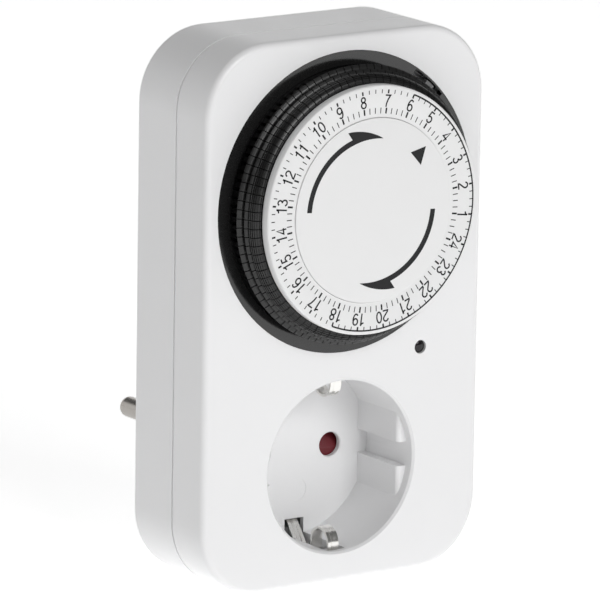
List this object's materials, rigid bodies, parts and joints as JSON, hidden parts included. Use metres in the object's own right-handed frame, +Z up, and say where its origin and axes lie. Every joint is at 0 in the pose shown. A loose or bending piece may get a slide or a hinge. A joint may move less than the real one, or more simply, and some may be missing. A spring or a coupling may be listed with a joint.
{
  "type": "plug in timer switch",
  "caption": "Mechanical 24 hour plug in timer: rounded white housing, segment dial, side earthed socket in front, round two pin plug behind",
  "frame": {"origin": "centre of the plug's pin face, on the common axis of plug and socket", "axes": "+Z up, -Y towards the user, +Y along the plug pins into the wall, +X to the right"},
  "size_m": [0.074, 0.0837, 0.124],
  "materials": {
    "housing": "white moulded thermoplastic, satin gloss",
    "collar": "polished black thermoplastic",
    "dial_white": "white moulded thermoplastic with black print",
    "drum": "black acetal",
    "tappet": "black acetal, satin",
    "steel": "bright steel",
    "plate": "zinc plated sheet steel",
    "gear": "natural acetal",
    "pinion_brass": "cut brass",
    "gearcase": "moulded polyamide",
    "can": "drawn and zinc plated steel",
    "plunger": "polished black acetal",
    "bronze": "contact bronze with silver rivet",
    "strip_brass": "stamped brass strip",
    "insulator": "moulded urea",
    "shutter": "red acetal",
    "earth_metal": "nickel plated spring brass",
    "pin_metal": "nickel plated brass",
    "lens": "dark tinted lens",
    "lamp_glass": "clear glow lamp glass",
    "resistor": "lacquered ceramic",
    "screw_steel": "blackened steel, cross recess"
  },
  "bodies": {
    "root": {"front_housing": "housing", "rear_housing": "housing", "dial_collar": "collar", "centre_disc": "dial_white", "dial_spindle": "steel", "gear_plate": "plate", "drive_gear_arbor": "steel", "motor_gearcase": "gearcase", "motor_can": "can", "motor_screws": "steel", "rocker_pin": "steel", "fixed_contact": "bronze", "live_busbar": "strip_brass", "live_socket_contact": "strip_brass", "neutral_contact": "strip_brass", "contact_block": "insulator", "shutter_spring": "steel", "earth_clip_top": "earth_metal", "earth_clip_bottom": "earth_metal", "earth_bridge": "earth_metal", "plug_earth_top": "earth_metal", "plug_earth_bottom": "earth_metal", "plug_pin_live": "pin_metal", "plug_pin_neutral": "pin_metal", "lamp_lens": "lens", "neon_lamp": "lamp_glass", "lamp_resistor": "resistor", "housing_screws": "screw_steel"},
    "dial": {"dial_drum": "drum", "hour_ring": "dial_white"},
    "drive_gear": {"drive_gear": "gear"},
    "motor_pinion": {"motor_pinion": "pinion_brass"},
    "plunger": {"switch_plunger": "plunger"},
    "rocker": {"switch_rocker": "gear"},
    "leaf": {"moving_contact": "bronze"},
    "shutter": {"socket_shutter": "shutter"},
    "tappets_hour_01": {"tappets_hour_01": "tappet"},
    "tappets_hour_02": {"tappets_hour_02": "tappet"},
    "tappets_hour_03": {"tappets_hour_03": "tappet"},
    "tappets_hour_04": {"tappets_hour_04": "tappet"},
    "tappets_hour_05": {"tappets_hour_05": "tappet"},
    "tappets_hour_06": {"tappets_hour_06": "tappet"},
    "tappets_hour_07": {"tappets_hour_07": "tappet"},
    "tappets_hour_08": {"tappets_hour_08": "tappet"},
    "tappets_hour_09": {"tappets_hour_09": "tappet"},
    "tappets_hour_10": {"tappets_hour_10": "tappet"},
    "tappets_hour_11": {"tappets_hour_11": "tappet"},
    "tappets_hour_12": {"tappets_hour_12": "tappet"},
    "tappets_hour_13": {"tappets_hour_13": "tappet"},
    "tappets_hour_14": {"tappets_hour_14": "tappet"},
    "tappets_hour_15": {"tappets_hour_15": "tappet"},
    "tappets_hour_16": {"tappets_hour_16": "tappet"},
    "tappets_hour_17": {"tappets_hour_17": "tappet"},
    "tappets_hour_18": {"tappets_hour_18": "tappet"},
    "tappets_hour_19": {"tappets_hour_19": "tappet"},
    "tappets_hour_20": {"tappets_hour_20": "tappet"},
    "tappets_hour_21": {"tappets_hour_21": "tappet"},
    "tappets_hour_22": {"tappets_hour_22": "tappet"},
    "tappets_hour_23": {"tappets_hour_23": "tappet"},
    "tappets_hour_24": {"tappets_hour_24": "tappet"}
  },
  "joints": [
    {"name": "dial_turn", "type": "hinge", "parent": "root", "child": "dial", "pos_m": [0, -0.054, 0.06], "axis": [0, 1, 0], "continuous": true},
    {"name": "drive_gear_turn", "type": "hinge", "parent": "root", "child": "drive_gear", "pos_m": [-0.01807, -0.04, 0.0342], "axis": [0, 1, 0], "continuous": true},
    {"name": "motor_pinion_turn", "type": "hinge", "parent": "root", "child": "motor_pinion", "pos_m": [-0.01396, -0.0385, 0.04547], "axis": [0, 1, 0], "continuous": true},
    {"name": "plunger_press", "type": "slide", "parent": "root", "child": "plunger", "axis": [0, 1, 0], "range_m": [0, 0.0012], "stiffness_N_per_m": 250, "springref_m": -0.002},
    {"name": "rocker_tilt", "type": "hinge", "parent": "root", "child": "rocker", "pos_m": [0.02154, -0.034, 0.074], "axis": [-1, 0, 0], "range_deg": [0, 7.12]},
    {"name": "contact_close", "type": "hinge", "parent": "root", "child": "leaf", "pos_m": [0.02154, -0.0356, 0.046], "axis": [1, 0, 0], "range_deg": [0, 3.51]},
    {"name": "shutter_open", "type": "hinge", "parent": "root", "child": "shutter", "pos_m": [0, -0.032, 0], "axis": [0, -1, 0], "range_deg": [0, 40], "stiffness_Nm_per_rad": 0.002, "springref_deg": -20.05, "deforming": ["shutter_spring"]},
    {"name": "push_hour_01", "type": "slide", "parent": "dial", "child": "tappets_hour_01", "axis": [0, 1, 0], "range_m": [0, 0.003]},
    {"name": "push_hour_02", "type": "slide", "parent": "dial", "child": "tappets_hour_02", "axis": [0, 1, 0], "range_m": [0, 0.003]},
    {"name": "push_hour_03", "type": "slide", "parent": "dial", "child": "tappets_hour_03", "axis": [0, 1, 0], "range_m": [0, 0.003]},
    {"name": "push_hour_04", "type": "slide", "parent": "dial", "child": "tappets_hour_04", "axis": [0, 1, 0], "range_m": [0, 0.003]},
    {"name": "push_hour_05", "type": "slide", "parent": "dial", "child": "tappets_hour_05", "axis": [0, 1, 0], "range_m": [0, 0.003]},
    {"name": "push_hour_06", "type": "slide", "parent": "dial", "child": "tappets_hour_06", "axis": [0, 1, 0], "range_m": [0, 0.003]},
    {"name": "push_hour_07", "type": "slide", "parent": "dial", "child": "tappets_hour_07", "axis": [0, 1, 0], "range_m": [0, 0.003]},
    {"name": "push_hour_08", "type": "slide", "parent": "dial", "child": "tappets_hour_08", "axis": [0, 1, 0], "range_m": [0, 0.003]},
    {"name": "push_hour_09", "type": "slide", "parent": "dial", "child": "tappets_hour_09", "axis": [0, 1, 0], "range_m": [0, 0.003]},
    {"name": "push_hour_10", "type": "slide", "parent": "dial", "child": "tappets_hour_10", "axis": [0, 1, 0], "range_m": [0, 0.003]},
    {"name": "push_hour_11", "type": "slide", "parent": "dial", "child": "tappets_hour_11", "axis": [0, 1, 0], "range_m": [0, 0.003]},
    {"name": "push_hour_12", "type": "slide", "parent": "dial", "child": "tappets_hour_12", "axis": [0, 1, 0], "range_m": [0, 0.003]},
    {"name": "push_hour_13", "type": "slide", "parent": "dial", "child": "tappets_hour_13", "axis": [0, 1, 0], "range_m": [0, 0.003]},
    {"name": "push_hour_14", "type": "slide", "parent": "dial", "child": "tappets_hour_14", "axis": [0, 1, 0], "range_m": [0, 0.003]},
    {"name": "push_hour_15", "type": "slide", "parent": "dial", "child": "tappets_hour_15", "axis": [0, 1, 0], "range_m": [0, 0.003]},
    {"name": "push_hour_16", "type": "slide", "parent": "dial", "child": "tappets_hour_16", "axis": [0, 1, 0], "range_m": [0, 0.003]},
    {"name": "push_hour_17", "type": "slide", "parent": "dial", "child": "tappets_hour_17", "axis": [0, 1, 0], "range_m": [0, 0.003]},
    {"name": "push_hour_18", "type": "slide", "parent": "dial", "child": "tappets_hour_18", "axis": [0, 1, 0], "range_m": [0, 0.003]},
    {"name": "push_hour_19", "type": "slide", "parent": "dial", "child": "tappets_hour_19", "axis": [0, 1, 0], "range_m": [0, 0.003]},
    {"name": "push_hour_20", "type": "slide", "parent": "dial", "child": "tappets_hour_20", "axis": [0, 1, 0], "range_m": [0, 0.003]},
    {"name": "push_hour_21", "type": "slide", "parent": "dial", "child": "tappets_hour_21", "axis": [0, 1, 0], "range_m": [0, 0.003]},
    {"name": "push_hour_22", "type": "slide", "parent": "dial", "child": "tappets_hour_22", "axis": [0, 1, 0], "range_m": [0, 0.003]},
    {"name": "push_hour_23", "type": "slide", "parent": "dial", "child": "tappets_hour_23", "axis": [0, 1, 0], "range_m": [0, 0.003]},
    {"name": "push_hour_24", "type": "slide", "parent": "dial", "child": "tappets_hour_24", "axis": [0, 1, 0], "range_m": [0, 0.003]}
  ],
  "couplings": [
    {"joint": "drive_gear_turn", "follows": "dial_turn", "ratio": -6},
    {"joint": "motor_pinion_turn", "follows": "dial_turn", "ratio": 18},
    {"joint": "rocker_tilt", "follows": "plunger_press", "rad_per_m": 102.04},
    {"joint": "contact_close", "follows": "plunger_press", "rad_per_m": 49.652}
  ]
}
